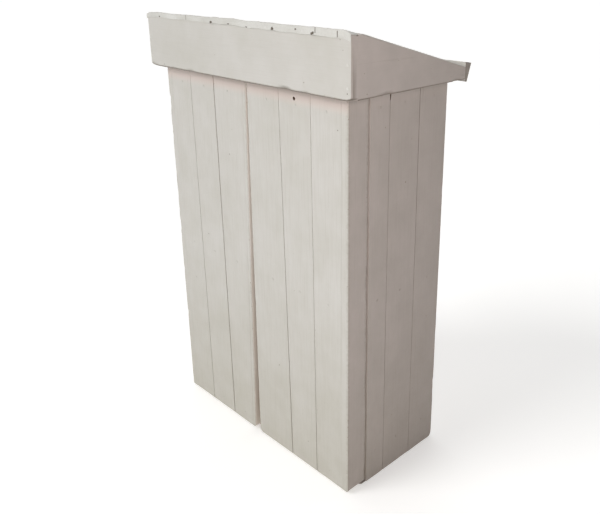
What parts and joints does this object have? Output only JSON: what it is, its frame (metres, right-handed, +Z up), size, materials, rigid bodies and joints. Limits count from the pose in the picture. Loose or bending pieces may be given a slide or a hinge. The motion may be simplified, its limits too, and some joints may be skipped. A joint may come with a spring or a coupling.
{
  "type": "beehive",
  "caption": "Tall cupboard beehive in painted matchboard: two door leaves, glazed inner windows, hanging frames, and a lean-to roof that telescopes over the body.",
  "frame": {"origin": "centre of the carcass footprint at ground level, on the underside of the floor board", "axes": "+X to the right of someone facing the doors, +Y from the doors to the flight side, +Z up"},
  "size_m": [0.57, 0.3287, 0.8666],
  "materials": {
    "painted_timber": "old off-white oil paint on softwood boards, slightly dirty, worn at the arrises",
    "painted_nails": "nail heads under the same off-white paint",
    "roof_sheet": "sheet covering under several coats of white paint",
    "bare_timber": "planed, unpainted softwood",
    "weathered_timber": "weathered, thinly painted softwood",
    "straw": "pressed straw slab",
    "ticking": "plain woven sacking",
    "wax": "embossed beeswax sheet",
    "glass": "thin drawn sheet glass",
    "brass": "turned brass, dulled",
    "galvanised": "galvanised, dull",
    "iron": "dark iron, lightly rusted"
  },
  "bodies": {
    "carcass": {"left_side_boards": "painted_timber", "right_side_boards": "painted_timber", "left_side_lining": "bare_timber", "right_side_lining": "bare_timber", "flight_boards": "painted_timber", "flight_lining": "bare_timber", "floor_board": "bare_timber", "head_rail": "painted_timber", "head_boards": "bare_timber", "crown_ledges": "bare_timber", "crown_boards": "bare_timber", "excluder_frame": "bare_timber", "excluder_wires": "galvanised", "frame_runners": "galvanised", "alighting_board": "weathered_timber", "entrance_guides": "weathered_timber", "door_pivots": "iron", "pivot_screws": "iron", "wall_nails": "painted_nails", "chaff_cushion": "ticking", "wax_sheets": "wax", "lower_frame_1": "bare_timber", "lower_frame_2": "bare_timber", "lower_frame_3": "bare_timber", "lower_frame_4": "bare_timber", "upper_frame_1": "bare_timber", "upper_frame_2": "bare_timber", "upper_frame_3": "bare_timber", "upper_frame_4": "bare_timber", "honey_frame_1": "bare_timber", "honey_frame_2": "bare_timber", "honey_frame_3": "bare_timber", "honey_frame_4": "bare_timber"},
    "left_door": {"left_hinge_stile": "painted_timber", "left_door_boards": "painted_timber", "left_door_frame": "bare_timber", "left_door_pad": "straw", "left_door_lining": "bare_timber", "left_door_nails": "painted_nails"},
    "right_door": {"right_hinge_stile": "painted_timber", "right_door_boards": "painted_timber", "right_door_frame": "bare_timber", "right_door_pad": "straw", "right_door_lining": "bare_timber", "right_door_nails": "painted_nails"},
    "roof": {"roof_front_board": "painted_timber", "roof_skirts": "painted_timber", "roof_rear_fascia": "painted_timber", "roof_boards": "bare_timber", "roof_battens": "bare_timber", "roof_sheet": "roof_sheet", "roof_nails": "painted_nails"},
    "brood_window": {"brood_sash": "bare_timber", "brood_pane": "glass", "brood_knobs": "brass"},
    "honey_window": {"honey_sash": "bare_timber", "honey_pane": "glass", "honey_knobs": "brass"},
    "entrance_closer": {"entrance_slide": "weathered_timber", "entrance_knob": "brass"}
  },
  "joints": [
    {"name": "left_door_swing", "type": "hinge", "parent": "carcass", "child": "left_door", "pos_m": [-0.252, -0.085, 0], "axis": [0, 0, -1], "range_deg": [0, 95]},
    {"name": "right_door_swing", "type": "hinge", "parent": "carcass", "child": "right_door", "pos_m": [0.252, -0.085, 0], "axis": [0, 0, 1], "range_deg": [0, 95]},
    {"name": "roof_lift", "type": "slide", "parent": "carcass", "child": "roof", "axis": [0, 0, 1], "range_m": [0, 0.18]},
    {"name": "brood_window_slide", "type": "slide", "parent": "carcass", "child": "brood_window", "axis": [0, -1, 0], "range_m": [0, 0.007]},
    {"name": "honey_window_slide", "type": "slide", "parent": "carcass", "child": "honey_window", "axis": [0, -1, 0], "range_m": [0, 0.007]},
    {"name": "entrance_slide_travel", "type": "slide", "parent": "carcass", "child": "entrance_closer", "axis": [-1, 0, 0], "range_m": [0, 0.118]}
  ]
}
